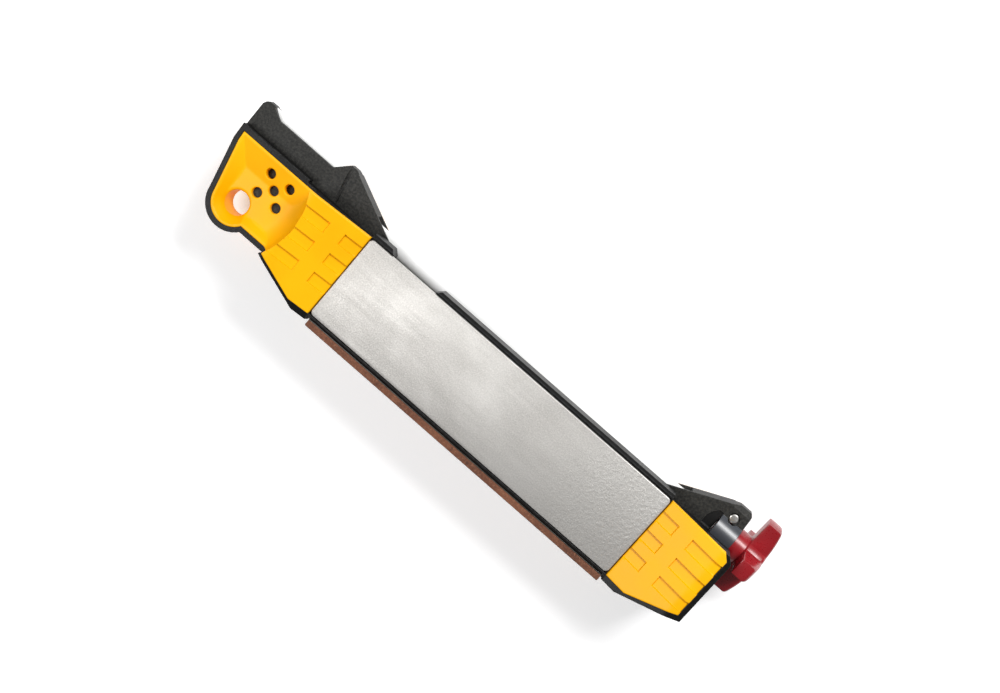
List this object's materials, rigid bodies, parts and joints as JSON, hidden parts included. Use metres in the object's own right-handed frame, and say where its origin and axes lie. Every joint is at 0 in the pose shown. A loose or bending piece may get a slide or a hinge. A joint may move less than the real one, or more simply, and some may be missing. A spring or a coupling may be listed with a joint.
{
  "type": "honing guide",
  "caption": "Double-sided hand sharpener: a diamond plate between angled guide ramps on each face, a turning ceramic rod with ramps along one edge, a leather strop along the other.",
  "frame": {"origin": "middle of the underside of the box round the whole tool, as it lies flat on its back ramps", "axes": "+X along the tool from the lanyard hole to the knob, +Y from the strop to the rod, +Z out of the front face, up as it lies"},
  "size_m": [0.1758, 0.041, 0.0312],
  "materials": {
    "black_plastic": "fine textured moulding, glass-filled nylon",
    "yellow_plastic": "smooth satin moulding",
    "coarse_diamond": "nickel-plated steel with embedded coarse diamond grit, fine sparkle",
    "fine_diamond": "nickel-plated steel with embedded fine diamond grit",
    "magnet": "nickel-plated magnet",
    "white_ceramic": "unglazed fine alumina, slightly satin",
    "red_plastic": "polished moulding",
    "pin_steel": "tumbled steel, domed head",
    "spring_steel": "rolled spring steel",
    "wrench_plastic": "moulded nylon",
    "screw_steel": "zinc-plated steel",
    "strop_leather": "raw split leather, fuzzy cut edges",
    "adhesive_film": "clear acrylic adhesive film"
  },
  "bodies": {
    "housing": {"center_frame": "black_plastic", "front_housing": "black_plastic", "back_housing": "black_plastic", "front_lanyard_guide": "yellow_plastic", "back_lanyard_guide": "yellow_plastic", "front_knob_guide": "yellow_plastic", "back_knob_guide": "yellow_plastic", "front_magnet_lanyard_end": "magnet", "front_magnet_knob_end": "magnet", "back_magnet_lanyard_end": "magnet", "back_magnet_knob_end": "magnet", "retaining_pin": "pin_steel", "detent_spring": "spring_steel", "small_rod": "white_ceramic", "broadhead_wrench": "wrench_plastic", "housing_screws": "screw_steel", "strop": "strop_leather", "strop_adhesive": "adhesive_film"},
    "rod_unit": {"main_rod": "white_ceramic", "knob": "red_plastic"},
    "front_plate": {"front_plate": "coarse_diamond"},
    "back_plate": {"back_plate": "fine_diamond"}
  },
  "joints": [
    {"name": "rod_turn", "type": "hinge", "parent": "housing", "child": "rod_unit", "pos_m": [0.0081, 0.00906, 0.01559], "axis": [1, 0, 0], "continuous": true},
    {"name": "front_plate_lift", "type": "slide", "parent": "housing", "child": "front_plate", "axis": [0, 0, 1], "range_m": [0, 0.03]},
    {"name": "back_plate_lift", "type": "slide", "parent": "housing", "child": "back_plate", "axis": [0, 0, -1], "range_m": [0, 0.03]}
  ]
}
